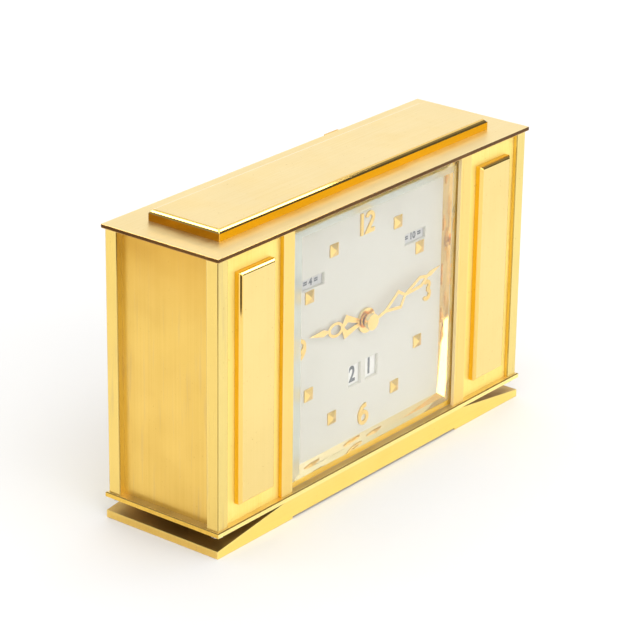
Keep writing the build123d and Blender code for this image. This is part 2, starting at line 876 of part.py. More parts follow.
# Set knob at the back end of the centre arbor
with BuildPart() as set_knob:
    with BuildSketch(across(knob_front + set_knob_length)):
        with Locations(centre):
            Circle(set_knob_radius)
            with PolarLocations(set_knob_radius, set_knob_flutes):
                Circle(knob_flute_radius, mode=Mode.SUBTRACT)
    extrude(amount=set_knob_length)
save(set_knob, "set_knob")

# Intermediate wheel and pinion
intermediate_pinion_phase = meshed_phase(
    0, barrel_direction + 180, barrel_teeth, intermediate_pinion_teeth
)
barrel_ring_back = barrel_front + barrel_ring_width
with BuildPart() as intermediate_wheel:
    gear(intermediate_place, intermediate_wheel_teeth, intermediate_module,
         intermediate_wheel_front, intermediate_wheel_back)
    gear(intermediate_place, intermediate_pinion_teeth, barrel_module,
         intermediate_wheel_back, barrel_ring_back + pinion_side_margin,
         intermediate_pinion_phase)
    rod(intermediate_place, arbor_radius, arbor_front, arbor_back)
    rod(intermediate_place, pivot_radius, plate_front, rear_plate_back)
save(intermediate_wheel, "intermediate_wheel")

# Third wheel and pinion
third_pinion_phase = meshed_phase(0, third_direction, centre_wheel_teeth, third_pinion_teeth)
with BuildPart() as third_wheel:
    gear(third_place, third_wheel_teeth, third_module, third_wheel_front, third_wheel_back)
    gear(third_place, third_pinion_teeth, centre_module,
         centre_wheel_front - pinion_side_margin, centre_wheel_back + pinion_side_margin,
         third_pinion_phase)
    rod(third_place, arbor_radius, arbor_front, arbor_back)
    rod(third_place, pivot_radius, plate_front, rear_plate_back)
save(third_wheel, "third_wheel")

# Mainspring barrel, with the spring inside and the winding arbor through it
drum_radius = pitch_radius(barrel_teeth, barrel_module) - barrel_drum_margin
with BuildPart() as mainspring_barrel:
    gear(barrel_place, barrel_teeth, barrel_module, barrel_front, barrel_ring_back)
    rod(barrel_place, drum_radius, barrel_front, barrel_back)
    rod(barrel_place, drum_radius - barrel_wall, barrel_front + barrel_wall,
        barrel_back - barrel_wall, mode=Mode.SUBTRACT)
    rod(barrel_place, winding_arbor_radius + running_clearance, barrel_front, barrel_back,
        mode=Mode.SUBTRACT)
save(mainspring_barrel, "mainspring_barrel")

spring_middle = (barrel_front + barrel_back) / 2
spring_start = winding_arbor_radius + spring_arbor_gap
with BuildPart() as mainspring:
    with BuildSketch(across(spring_middle + spring_width / 2)):
        with Locations(barrel_place):
            with BuildLine(mode=Mode.PRIVATE) as strip_line:
                for number in range(spring_half_turns):
                    near = spring_start + number * spring_pitch / 2
                    far = near + spring_pitch / 2
                    shift = (near - far) / 2 * (-1) ** number
                    CenterArc((shift, 0), (near + far) / 2, 180 * (number % 2), 180)
            add(trace(strip_line.line, line_width=spring_strip, mode=Mode.PRIVATE).faces())
    extrude(amount=spring_width)
save(mainspring, "mainspring")

with BuildPart() as winding_arbor:
    rod(barrel_place, winding_arbor_radius, arbor_front, knob_front)
    rod(barrel_place, winding_pivot_radius, plate_front, arbor_front)
    with BuildSketch(across(knob_back)):
        with Locations(barrel_place):
            Rectangle(winding_square, winding_square)
    extrude(amount=knob_length)
save(winding_arbor, "winding_arbor")

# Butterfly key on the square of the winding arbor
with BuildPart() as winding_key:
    rod(barrel_place, key_hub_radius, knob_front, knob_back)
    with BuildSketch(Plane.XY.offset(barrel_place[1] - key_wing_thickness / 2)):
        with Locations((barrel_place[0], (knob_front + key_wing_step + knob_back) / 2)):
            RectangleRounded(key_span, knob_back - knob_front - key_wing_step,
                             (knob_back - knob_front - key_wing_step) / 2 - 2 * seat_clearance)
    extrude(amount=key_wing_thickness)
    with BuildSketch(across(knob_back)):
        with Locations(barrel_place):
            Rectangle(winding_square + 2 * seat_clearance, winding_square + 2 * seat_clearance)
    extrude(amount=knob_length, mode=Mode.SUBTRACT)
save(winding_key, "winding_key")

# Calendar discs, and the setters that turn them from the back
for calendar_name, x, z, radius in calendar:
    with BuildPart() as calendar_disc:
        rod((x, z), radius, disc_front, disc_back)
        rod((x, z), setter_radius + seat_clearance, disc_front, disc_back, mode=Mode.SUBTRACT)
    save(calendar_disc, f"{calendar_name}_disc")
    with BuildPart() as setter:
        rod((x, z), setter_radius, disc_front, knob_front)
        with BuildSketch(across(knob_back)):
            with Locations((x, z)):
                Circle(knob_radius)
                with PolarLocations(knob_radius, knob_flutes):
                    Circle(knob_flute_radius, mode=Mode.SUBTRACT)
        extrude(amount=knob_length)
    save(setter, f"{calendar_name}_setter")

# Bushes that carry the setters in the front movement plate
with BuildPart() as calendar_bushes:
    for calendar_name, x, z, radius in calendar:
        bush_front = disc_back + bush_front_gap
        rod((x, z), bush_radius, bush_front, bush_front + bush_length)
        rod((x, z), bush_flange_radius, plate_back, plate_back + bush_flange_thickness)
        rod((x, z), setter_radius + running_clearance, bush_front, bush_front + bush_length,
            mode=Mode.SUBTRACT)
save(calendar_bushes, "calendar_bushes")

# Front movement plate with the stud of the motion wheel
movement_half_x = day_disc_x + movement_plate_margin
movement_low = dial_z - movement_plate_height / 2
movement_high = dial_z + movement_plate_height / 2
clamp_screw_places = tuple(
    (side * clamp_screw_x, edge + inward * clamp_screw_rise)
    for side in (-1, 1)
    for edge, inward in ((movement_low, 1), (movement_high, -1))
)
front_plate_holes = (
    [(centre, centre_arbor_radius + running_clearance)]
    + [(intermediate_place, pivot_radius + running_clearance)]
    + [(third_place, pivot_radius + running_clearance)]
    + [(barrel_place, winding_pivot_radius + running_clearance)]
    + [((x, z), bush_radius + seat_clearance) for name, x, z, radius in calendar]
    + [(place, pillar_tenon_radius + seat_clearance) for place in pillar_places]
    + [(place, dial_foot_radius + seat_clearance) for place in foot_places]
    + [(place, small_screw_radius + seat_clearance) for place in clamp_screw_places]
)
with BuildPart() as front_movement_plate:
    block(span(movement_half_x), (plate_front, plate_back), (movement_low, movement_high))
    for place, radius in front_plate_holes:
        rod(place, radius, plate_front, plate_back, mode=Mode.SUBTRACT)
    rod(motion_place, motion_stud_radius, hour_wheel_front - motion_stud_overhang, plate_back)
save(front_movement_plate, "front_movement_plate")

# Rear movement plate
rear_plate_holes = (
    [(centre, centre_arbor_radius + running_clearance)]
    + [(intermediate_place, pivot_radius + running_clearance)]
    + [(third_place, pivot_radius + running_clearance)]
    + [(balance_place, staff_radius + running_clearance)]
    + [(barrel_place, winding_arbor_radius + running_clearance)]
    + [(place, pillar_tenon_radius + seat_clearance) for place in pillar_places]
)
with BuildPart() as rear_movement_plate:
    block(span(pillar_x + rear_plate_margin), (rear_plate_front, rear_plate_back),
          (dial_z - pillar_low - rear_plate_end_margin,
           dial_z + pillar_high + rear_plate_end_margin))
    for place, radius in rear_plate_holes:
        rod(place, radius, rear_plate_front, rear_plate_back, mode=Mode.SUBTRACT)
save(rear_movement_plate, "rear_movement_plate")

# Pillars between the plates, riveted through both
with BuildPart() as movement_pillars:
    for place in pillar_places:
        rod(place, pillar_radius, plate_back, rear_plate_front)
        rod(place, pillar_tenon_radius, plate_front, rear_plate_back)
save(movement_pillars, "movement_pillars")

# Angle clamps that hold the front movement plate to the top and bottom plates
clamp_ends = (
    (bottom_plate_top, movement_low, 1),
    (top_plate_bottom, movement_high, -1),
)
with BuildPart() as movement_clamps:
    for base, edge, inward in clamp_ends:
        block(span(clamp_width / 2), (plate_back, plate_back + clamp_leg),
              tuple(sorted((base, base + inward * clamp_thickness))))
        block(span(clamp_width / 2), (plate_back, plate_back + clamp_thickness),
              tuple(sorted((base, edge + inward * clamp_grip))))
        for side_name, side in sides:
            upright((side * clamp_screw_x, clamp_screw_y), small_screw_radius + seat_clearance,
                    min(base, base + inward * clamp_thickness),
                    max(base, base + inward * clamp_thickness), mode=Mode.SUBTRACT)
            rod((side * clamp_screw_x, edge + inward * clamp_screw_rise),
                small_screw_radius + seat_clearance, plate_back, plate_back + clamp_thickness,
                mode=Mode.SUBTRACT)
save(movement_clamps, "movement_clamps")

# Clamp screws: each clamp has two into its case plate and two into the movement plate
with BuildPart() as clamp_screws:
    for base, edge, inward in clamp_ends:
        seat = base + inward * clamp_thickness
        head_top = seat + inward * small_screw_head
        shank_tip = {1: foot_height, -1: top_plate_top}[inward] + inward * 2 * small_screw_tip_gap
        for side_name, side in sides:
            down_place = (side * clamp_screw_x, clamp_screw_y)
            upright(down_place, small_screw_head_radius, min(seat, head_top), max(seat, head_top))
            upright(down_place, small_screw_radius, min(seat, shank_tip), max(seat, shank_tip))
            back_place = (side * clamp_screw_x, edge + inward * clamp_screw_rise)
            head_back = plate_back + clamp_thickness + small_screw_head
            rod(back_place, small_screw_head_radius, plate_back + clamp_thickness, head_back)
            rod(back_place, small_screw_radius, plate_front + small_screw_tip_gap,
                plate_back + clamp_thickness)
save(clamp_screws, "clamp_screws")

# Balance wheel on its staff, and the cock that carries the staff's back end
balance_front = rear_plate_back + balance_gap
balance_back = balance_front + balance_width
cock_front = rear_plate_back + cock_height
cock_back = cock_front + cock_thickness
with BuildPart() as balance_wheel:
    with BuildSketch(across(balance_back)):
        with Locations(balance_place):
            Circle(balance_radius)
            Circle(balance_radius - balance_rim, mode=Mode.SUBTRACT)
            Rectangle(2 * balance_radius - balance_rim, balance_spoke)
            Circle(balance_hub_radius)
    extrude(amount=balance_width)
    rod(balance_place, staff_radius, rear_plate_front + end_shake, cock_back - end_shake)
save(balance_wheel, "balance_wheel")

cock_foot_end = cock_foot_start + cock_foot_length
cock_z = (balance_place[1] - cock_width / 2, balance_place[1] + cock_width / 2)
with BuildPart() as balance_cock:
    block((cock_foot_start, cock_foot_end), (rear_plate_back, cock_front), cock_z)
    block((balance_place[0], cock_foot_end), (cock_front, cock_back), cock_z)
    rod(balance_place, cock_width / 2, cock_front, cock_back)
    rod(balance_place, staff_radius + running_clearance, cock_front, cock_back,
        mode=Mode.SUBTRACT)
save(balance_cock, "balance_cock")

# Rear door with its hinge barrel and the lift tab behind the top plate's edge
door_low = bottom_plate_top + door_gap
door_high = top_plate_bottom - door_gap
tab_x = (tab_centre - tab_width / 2, tab_centre + tab_width / 2)
tab_inner = plate_half_y + tab_clearance
tab_outer = tab_inner + tab_thickness
tab_root = top_plate_bottom - tab_root_drop
door_outer = hinge_y + door_thickness / 2
with BuildPart() as rear_door:
    block((hinge_x, opening_half - door_gap), (hinge_y - door_thickness / 2, door_outer),
          (door_low, door_high))
    upright((hinge_x, hinge_y), hinge_knuckle_radius, door_low, door_high)
    upright((hinge_x, hinge_y), hinge_rod_radius + running_clearance, door_low, door_high,
            mode=Mode.SUBTRACT)
    block(tab_x, (door_outer, tab_outer), (tab_root, tab_root + tab_root_thickness))
    block(tab_x, (tab_inner, tab_outer), (tab_root, top_plate_top - tab_top_drop))
save(rear_door, "rear_door")

with BuildPart() as door_hinge_rod:
    upright((hinge_x, hinge_y), hinge_rod_radius, bottom_plate_top - hinge_rod_seat,
            top_plate_bottom + hinge_rod_seat)
save(door_hinge_rod, "door_hinge_rod")

# Slotted screws: four hold the posts, two hold the foot plate
with BuildPart() as case_screws:
    for place, seat in (
        [(place, foot_height) for place in screw_places]
        + [(place, foot_screw_seat) for place in foot_screw_places]
    ):
        upright(place, screw_head_radius, seat - screw_head_height, seat)
        upright(place, screw_radius, seat, seat + screw_length - screw_slot_depth)
        with Locations((place[0], place[1], seat - screw_head_height + screw_slot_depth / 2)):
            Box(2 * screw_head_radius, screw_slot_width, screw_slot_depth, mode=Mode.SUBTRACT)
save(case_screws, "case_screws")
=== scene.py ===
"""Desk clock: finishes, soft edges, dial printing, glass, floor, light and camera. Metres."""

import json
from math import cos, pi, radians, sin

import bmesh
import bpy
from mathutils import Matrix, Vector


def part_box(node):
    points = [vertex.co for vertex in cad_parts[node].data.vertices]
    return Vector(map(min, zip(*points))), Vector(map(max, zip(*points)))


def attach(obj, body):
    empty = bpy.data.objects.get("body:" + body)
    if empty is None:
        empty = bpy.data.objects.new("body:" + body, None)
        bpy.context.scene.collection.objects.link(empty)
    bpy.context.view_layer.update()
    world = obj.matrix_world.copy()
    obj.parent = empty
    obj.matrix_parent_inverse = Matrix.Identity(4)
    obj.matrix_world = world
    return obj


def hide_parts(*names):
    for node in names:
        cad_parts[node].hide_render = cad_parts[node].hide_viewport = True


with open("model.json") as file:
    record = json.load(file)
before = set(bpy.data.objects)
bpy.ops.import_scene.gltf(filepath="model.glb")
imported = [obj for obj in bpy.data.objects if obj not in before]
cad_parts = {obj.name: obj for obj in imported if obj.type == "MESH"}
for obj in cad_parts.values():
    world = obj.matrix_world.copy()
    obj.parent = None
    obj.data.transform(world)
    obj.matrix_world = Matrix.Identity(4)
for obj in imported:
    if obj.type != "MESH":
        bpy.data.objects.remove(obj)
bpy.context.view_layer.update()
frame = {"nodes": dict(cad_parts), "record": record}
nodes = frame["nodes"]
body_of_node = {
    node: body
    for body, members in frame["record"]["behaviour"]["bodies"].items()
    for node in members
}

MM = 0.001

# Gilt colours: the two tones of the ground, then what lies over them
GILT_LIGHT = (0.84, 0.58, 0.14, 1)
GILT_DEEP = (0.81, 0.54, 0.11, 1)
# Dark tarnish for the specks, and for the seams tarnish together with painted shade
GILT_TARNISH_AND_SHADE = (0.36, 0.17, 0.02, 1)
# Pale gilt for the edges: partly wear, partly painted highlight
GILT_WORN_AND_HIGHLIGHT = (0.98, 0.78, 0.36, 1)
GILT_STAIN = (0.50, 0.36, 0.19, 1)
# Painted shade: warmer tone for the tops of the sides, standing for the overhanging top plate's
# reflection
GILT_SHADE = (0.60, 0.33, 0.05, 1)

# How far the paler edge, worn gilt and painted highlight, reaches from an edge, on the case and on
# small marks
WIDE_WEAR_AND_HIGHLIGHT = 1.0 * MM
NARROW_WEAR_AND_HIGHLIGHT = 0.25 * MM

# How near another face has to be for a seam to darken, with tarnish and painted shade on gilt and
# with painted shade on bare metal
GILT_SEAM = 0.6 * MM
METAL_SEAM = 1.2 * MM

# Depths of the surface relief, and how strongly it shows on bare metal, dial and discs
RIB_DEPTH = 0.12 * MM
STREAK_DEPTH = 0.02 * MM
TOOTH_DEPTH = 0.01 * MM
METAL_RELIEF = 0.2
DIAL_RELIEF = 0.08
DISC_RELIEF = 0.1

# Spans of a noise value: where most of it lies, and the parts of it that make tones and marks
NOISE_SPAN = (0.3, 0.7)
METAL_TONE_SPAN = (0.35, 0.65)
INK_TONE_SPAN = (0.35, 0.75)
SPECKLE_SPAN = (0.70, 0.76)
FRECKLE_SPAN = (0.70, 0.78)
BLOTCH_SPAN = (0.56, 0.68)
TRAIL_SPAN = (0.57, 0.70)
SMEAR_SPAN = (0.45, 0.7)
HAZE_SPAN = (0.55, 0.8)

# Spans of an occlusion value, from a deep seam or a sharp edge to a flat
GILT_SEAM_SPAN = (0.2, 0.7)
METAL_SEAM_SPAN = (0.3, 0.8)
EDGE_SPAN = (0.55, 0.85)

# Least and most roughness: on gilt and bare metal as shares of the given one
GILT_ROUGH_SHARES = (0.85, 1.15)
METAL_ROUGH_SHARES = (0.8, 1.25)
DIAL_ROUGHNESS = (0.38, 0.5)
DISC_ROUGHNESS = (0.42, 0.55)
INK_ROUGHNESS = (0.5, 0.65)

# What smears and haze add to it, on gilt as a share of the given one
SMEAR_ROUGH_SHARE = 0.3
HAZE_ROUGHNESS = 0.03

# How much of a mark's colour lies over the ground, and the tone of the painted shade in a seam of
# bare metal
SPECKLE_AMOUNT = 0.3
FRECKLE_AMOUNT = 0.35
METAL_SEAM_AMOUNT = 0.6
METAL_SEAM_SHADE_TONE = 0.35

# Colours of the dial, the printing, the floor and the dark card
DIAL_LIGHT = (0.63, 0.615, 0.54, 1)
DIAL_DEEP = (0.61, 0.595, 0.515, 1)
DIAL_FRECKLE = (0.62, 0.55, 0.42, 1)
INK_DARK = (0.04, 0.05, 0.065, 1)
INK_WORN = (0.11, 0.125, 0.145, 1)
FLOOR_LIT = ((0.93, 0.93, 0.93, 1), (0.91, 0.91, 0.91, 1))
FLOOR_SEEN = ((0.75, 0.75, 0.75, 1), (0.735, 0.735, 0.735, 1))
CARD_TONES = ((0.03, 0.02, 0.015, 1), (0.05, 0.035, 0.025, 1))

SHADE_UNEVENNESS = 4 * MM
GLASS_IOR = 1.5
OCCLUSION_SAMPLES = 4

# Short names for the sockets of the Principled shader
SOCKETS = {
    "base_color": "Base Color",
    "metallic": "Metallic",
    "roughness": "Roughness",
    "ior": "IOR",
    "transmission_weight": "Transmission Weight",
    "coat_weight": "Coat Weight",
    "coat_roughness": "Coat Roughness",
}


def even(scale):
    """The same noise scale along each axis."""
    return (scale, scale, scale)


# Noise scales of a surface's grain along each axis, in waves per metre
UPRIGHT_GRAIN = (1500, 1500, 18)
SIDE_GRAIN = (1500, 1500, 14)
LENGTHWISE_GRAIN = (14, 1500, 1500)
SHORT_UPRIGHT_GRAIN = (700, 700, 60)
SHORT_LENGTHWISE_GRAIN = (60, 700, 700)
LEVEL_GRAIN = (60, 60, 900)
WORKS_GRAIN = (1400, 1400, 60)
RIB_GRAIN = (30, 2400, 30)
BLOTCH_GRAIN = (240, 240, 150)
TRAIL_GRAIN = (420, 420, 26)


def add_node(tree, kind, **settings):
    """New node of a tree, with some of its settings."""
    node = tree.nodes.new(kind)
    for key, value in settings.items():
        setattr(node, key, value)
    return node


def feed(tree, value, socket):
    """Give a socket a fixed value, or link another socket to it."""
    if isinstance(value, bpy.types.NodeSocket):
        tree.links.new(value, socket)
    else:
        socket.default_value = value


class Finish:
    """A material under construction: its node tree and its Principled shader."""

    def __init__(self, name):
        self.material = bpy.data.materials.new(name)
        self.material.use_nodes = True
        self.tree = self.material.node_tree
        self.shader = self.tree.nodes["Principled BSDF"]
        self.output = self.tree.nodes["Material Output"]
        self.place = self.add("ShaderNodeTexCoord").outputs["Object"]

    def add(self, kind, **settings):
        """New node of the material."""
        return add_node(self.tree, kind, **settings)

    def link(self, source, target):
        self.tree.links.new(source, target)

    def set(self, **values):
        """Values or sockets for the shader, each under its short name."""
        for key, value in values.items():
            feed(self.tree, value, self.shader.inputs[SOCKETS[key]])

    def stretched(self, scale):
        """Object coordinates scaled along each axis."""
        mapping = self.add("ShaderNodeMapping")
        mapping.inputs["Scale"].default_value = scale
        self.link(self.place, mapping.inputs["Vector"])
        return mapping.outputs["Vector"]

    def noise(self, scale, detail=3.0, roughness=0.5):
        """Noise over the object, with one scale for each axis, in waves per metre."""
        node = self.add("ShaderNodeTexNoise")
        node.inputs["Scale"].default_value = 1.0
        node.inputs["Detail"].default_value = detail
        node.inputs["Roughness"].default_value = roughness
        self.link(self.stretched(scale), node.inputs["Vector"])
        return node.outputs["Fac"]

    def ramp(self, source, low, high, start=0.0, end=1.0):
        """Value that goes from start to end while the source goes from low to high."""
        node = self.add("ShaderNodeMapRange")
        node.inputs["From Min"].default_value = low
        node.inputs["From Max"].default_value = high
        node.inputs["To Min"].default_value = start
        node.inputs["To Max"].default_value = end
        self.link(source, node.inputs["Value"])
        return node.outputs["Result"]

    def mix(self, factor, first, second):
        """Colour between two colours or colour sockets."""
        node = self.add("ShaderNodeMix", data_type="RGBA")
        self.link(factor, node.inputs["Factor"])
        for name, value in (("A", first), ("B", second)):
            socket = next(s for s in node.inputs if s.name == name and s.type == "RGBA")
            feed(self.tree, value, socket)
        return next(s for s in node.outputs if s.type == "RGBA")

    def math(self, operation, first, second):
        """Sum, product and the like of two values or sockets."""
        node = self.add("ShaderNodeMath", operation=operation)
        for socket, value in zip(node.inputs, (first, second)):
            feed(self.tree, value, socket)
        return node.outputs["Value"]

    def bump(self, height, strength, distance):
        """Surface relief of a given depth."""
        node = self.add("ShaderNodeBump")
        node.inputs["Strength"].default_value = strength
        node.inputs["Distance"].default_value = distance
        self.link(height, node.inputs["Height"])
        self.link(node.outputs["Normal"], self.shader.inputs["Normal"])

    def crevices(self, distance):
        """1 in the open, less in corners and seams."""
        node = self.add("ShaderNodeAmbientOcclusion", samples=OCCLUSION_SAMPLES)
        node.inputs["Distance"].default_value = distance
        return node.outputs["AO"]

    def edges(self, distance):
        """0 on flats, up to 1 on outer edges."""
        node = self.add("ShaderNodeAmbientOcclusion", samples=OCCLUSION_SAMPLES, inside=True,
                        only_local=True)
        node.inputs["Distance"].default_value = distance
        return self.ramp(node.outputs["AO"], *EDGE_SPAN, 1.0, 0.0)


def gilt(name, streak, rough=0.15, mottle=0.3, tarnish=0.5, coat=0.0, coat_rough=0.1, wear=0.35,
         wear_and_highlight_reach=WIDE_WEAR_AND_HIGHLIGHT, stain=0.0, runs=0.0, shade=None, tooth=0.06, ribs=0.0,
         metal=1.0, light=GILT_LIGHT, deep=GILT_DEEP):
    """Gilt brass with faint streaks, darker in its seams and paler at its edges.

    Streak is the scale of the streaks and mottle their share in the tone between light and
    deep. Tarnish darkens the seams, partly as tarnish and partly as painted shade, and wear pales
    the edges, partly as worn gilt and partly as a painted highlight. Stain adds soft blotches,
    runs adds upright tarnish streaks, and shade (low, high, amount) paints shade as a warmer tone
    that grows between two heights. Tooth is the relief of the streaks, and ribs puts fine rings
    round the clock's depth axis in its place. Metal is how metallic the surface is.
    """
    finish = Finish(name)
    cloud = finish.noise(even(35), detail=4)
    lines = finish.noise(streak, detail=4, roughness=0.65)
    tone = finish.math("ADD", finish.ramp(cloud, *NOISE_SPAN, 0.0, 1.0 - mottle),
                       finish.ramp(lines, *NOISE_SPAN, 0.0, mottle))
    base = finish.mix(tone, light, deep)
    speckle = finish.noise(even(1100), detail=2)
    base = finish.mix(finish.ramp(speckle, *SPECKLE_SPAN, 0.0, SPECKLE_AMOUNT), base, GILT_TARNISH_AND_SHADE)
    if stain > 0:
        blotch = finish.noise(BLOTCH_GRAIN, detail=3)
        base = finish.mix(finish.ramp(blotch, *BLOTCH_SPAN, 0.0, stain), base, GILT_STAIN)
    if runs > 0:
        trail = finish.noise(TRAIL_GRAIN, detail=4, roughness=0.6)
        base = finish.mix(finish.ramp(trail, *TRAIL_SPAN, 0.0, runs), base, GILT_STAIN)
    # Painted shade: a warmer tone that grows towards the top, standing for the reflection of the
    # overhanging top plate
    if shade is not None:
        low, high, amount = shade
        height = finish.add("ShaderNodeSeparateXYZ")
        finish.link(finish.place, height.inputs["Vector"])
        uneven = finish.math("ADD", height.outputs["Z"],
                             finish.ramp(cloud, *NOISE_SPAN, -SHADE_UNEVENNESS, SHADE_UNEVENNESS))
        base = finish.mix(finish.ramp(uneven, low, high, 0.0, amount), base, GILT_SHADE)
    # Seams darker near other faces: partly tarnish, partly painted shade
    seam = finish.ramp(finish.crevices(GILT_SEAM), *GILT_SEAM_SPAN, tarnish, 0.0)
    base = finish.mix(seam, base, GILT_TARNISH_AND_SHADE)
    # Edges paler: partly worn gilt, partly painted highlight
    base = finish.mix(finish.math("MULTIPLY", finish.edges(wear_and_highlight_reach), wear), base, GILT_WORN_AND_HIGHLIGHT)
    smear = finish.noise(even(60), detail=3)
    least, most = (rough * share for share in GILT_ROUGH_SHARES)
    satin = finish.math("ADD", finish.ramp(lines, *NOISE_SPAN, least, most),
                        finish.ramp(smear, *SMEAR_SPAN, 0.0, rough * SMEAR_ROUGH_SHARE))
    if ribs > 0:
        finish.bump(finish.noise(RIB_GRAIN, detail=1), ribs, RIB_DEPTH)
    else:
        finish.bump(lines, tooth, STREAK_DEPTH)
    finish.set(base_color=base, roughness=satin, metallic=metal, coat_weight=coat,
               coat_roughness=coat_rough)
    return finish.material


def plain_metal(name, light, dark, rough, grain):
    """Bare metal with a cloudy tone, a fine grain and painted shade in its seams."""
    finish = Finish(name)
    cloud = finish.noise(even(50), detail=4)
    base = finish.mix(finish.ramp(cloud, *METAL_TONE_SPAN), light, dark)
    # Painted shade: a darker copy of the dark tone, laid into the seams
    shade = tuple(METAL_SEAM_SHADE_TONE * part for part in dark[:3]) + (1,)
    seam = finish.ramp(finish.crevices(METAL_SEAM), *METAL_SEAM_SPAN, METAL_SEAM_AMOUNT, 0.0)
    base = finish.mix(seam, base, shade)
    hairs = finish.noise(grain, detail=3)
    finish.bump(hairs, METAL_RELIEF, STREAK_DEPTH)
    least, most = (rough * share for share in METAL_ROUGH_SHARES)
    finish.set(base_color=base, roughness=finish.ramp(hairs, *NOISE_SPAN, least, most),
               metallic=1.0)
    return finish.material


def enamel(name):
    """Warm white dial: a satin coat with a very fine tooth and faint ageing."""
    finish = Finish(name)
    cloud = finish.noise(even(28), detail=3)
    base = finish.mix(finish.ramp(cloud, *NOISE_SPAN), DIAL_LIGHT, DIAL_DEEP)
    freckle = finish.noise(even(420), detail=2)
    base = finish.mix(finish.ramp(freckle, *FRECKLE_SPAN, 0.0, FRECKLE_AMOUNT), base, DIAL_FRECKLE)
    tooth = finish.noise(even(5200), detail=2)
    finish.bump(tooth, DIAL_RELIEF, TOOTH_DEPTH)
    finish.set(base_color=base, roughness=finish.ramp(tooth, *NOISE_SPAN, *DIAL_ROUGHNESS),
               metallic=0.0, coat_weight=0.15, coat_roughness=0.2)
    return finish.material


def disc_silver(name, light, dark):
    """Satin silver grey of the calendar discs."""
    finish = Finish(name)
    hairs = finish.noise(even(2600), detail=3)
    finish.bump(hairs, DISC_RELIEF, TOOTH_DEPTH)
    finish.set(base_color=finish.mix(finish.ramp(hairs, *NOISE_SPAN), light, dark),
               roughness=finish.ramp(hairs, *NOISE_SPAN, *DISC_ROUGHNESS), metallic=0.0)
    return finish.material


def ink(name):
    """Blue-grey printing with a slightly uneven colour."""
    finish = Finish(name)
    wear = finish.noise(even(1500), detail=3)
    finish.set(base_color=finish.mix(finish.ramp(wear, *INK_TONE_SPAN), INK_DARK, INK_WORN),
               roughness=finish.ramp(wear, *NOISE_SPAN, *INK_ROUGHNESS))
    return finish.material


def pane(name, tint, rough=0.0):
    """Clear or satin glass that lets light through to what is behind it."""
    finish = Finish(name)
    haze = finish.noise(even(70), detail=3)
    finish.set(base_color=tint, ior=GLASS_IOR, transmission_weight=1.0,
               roughness=finish.ramp(haze, *HAZE_SPAN, rough, rough + HAZE_ROUGHNESS))
    clear = finish.add("ShaderNodeBsdfTransparent")
    clear.inputs["Color"].default_value = tint
    path = finish.add("ShaderNodeLightPath")
    blend = finish.add("ShaderNodeMixShader")
    finish.link(path.outputs["Is Shadow Ray"], blend.inputs["Fac"])
    finish.link(finish.shader.outputs["BSDF"], blend.inputs[1])
    finish.link(clear.outputs["BSDF"], blend.inputs[2])
    finish.link(blend.outputs["Shader"], finish.output.inputs["Surface"])
    return finish.material


# Heights between which painted shade makes the sides warmer towards the top, and how much
SIDE_SHADE = (78 * MM, 106 * MM, 0.75)

# Finishes of the case from the posts to the foot, then of its edges, the marks, the reveals
# and the movement
post_gilt = gilt("gilt_post", UPRIGHT_GRAIN, rough=0.33, runs=0.35, light=(0.77, 0.61, 0.215, 1),
                 deep=(0.73, 0.58, 0.195, 1))
# Painted shade: a darker, warmer copy of the post gilt for the posts' sides
shaded_post_side_gilt = gilt("gilt_post_side_shaded", UPRIGHT_GRAIN, rough=0.3, runs=0.4,
                      light=(0.77, 0.56, 0.165, 1), deep=(0.73, 0.53, 0.147, 1))
stile_gilt = gilt("gilt_stile", UPRIGHT_GRAIN, rough=0.33, light=(0.825, 0.60, 0.20, 1),
                  deep=(0.785, 0.575, 0.182, 1))
panel_gilt = gilt("gilt_panel", UPRIGHT_GRAIN, rough=0.6, light=(0.96, 0.80, 0.30, 1),
                  deep=(0.92, 0.76, 0.27, 1))
side_gilt = gilt("gilt_side", SIDE_GRAIN, rough=0.36, mottle=0.4, runs=0.25, shade=SIDE_SHADE,
                 light=(0.77, 0.525, 0.14, 1), deep=(0.70, 0.465, 0.105, 1))
long_gilt = gilt("gilt_long", LENGTHWISE_GRAIN, rough=0.4, tarnish=0.15, tooth=0.02,
                 light=(0.81, 0.65, 0.325, 1), deep=(0.77, 0.61, 0.295, 1))
foot_gilt = gilt("gilt_foot", LENGTHWISE_GRAIN, rough=0.4, light=(0.88, 0.69, 0.20, 1),
                 deep=(0.84, 0.65, 0.175, 1))
plate_front_gilt = gilt("gilt_plate_front", LENGTHWISE_GRAIN, rough=0.33,
                        light=(0.94, 0.79, 0.31, 1), deep=(0.90, 0.75, 0.28, 1))
bar_gilt = gilt("gilt_bar", UPRIGHT_GRAIN, rough=0.33, light=(0.80, 0.62, 0.25, 1),
                deep=(0.76, 0.59, 0.23, 1))
polished_gilt = gilt("gilt_polished", even(700), rough=0.07, tarnish=0.15, wear=0.1,
                     light=(0.97, 0.54, 0.01, 1), deep=(0.93, 0.50, 0.006, 1))
# Painted shade: a darker copy of the polished gilt for the crown's ends
end_gilt = gilt("gilt_crown_end_shaded", even(700), rough=0.07, tarnish=0.4, wear=0.1,
                light=(0.82, 0.38, 0.02, 1), deep=(0.62, 0.27, 0.012, 1))
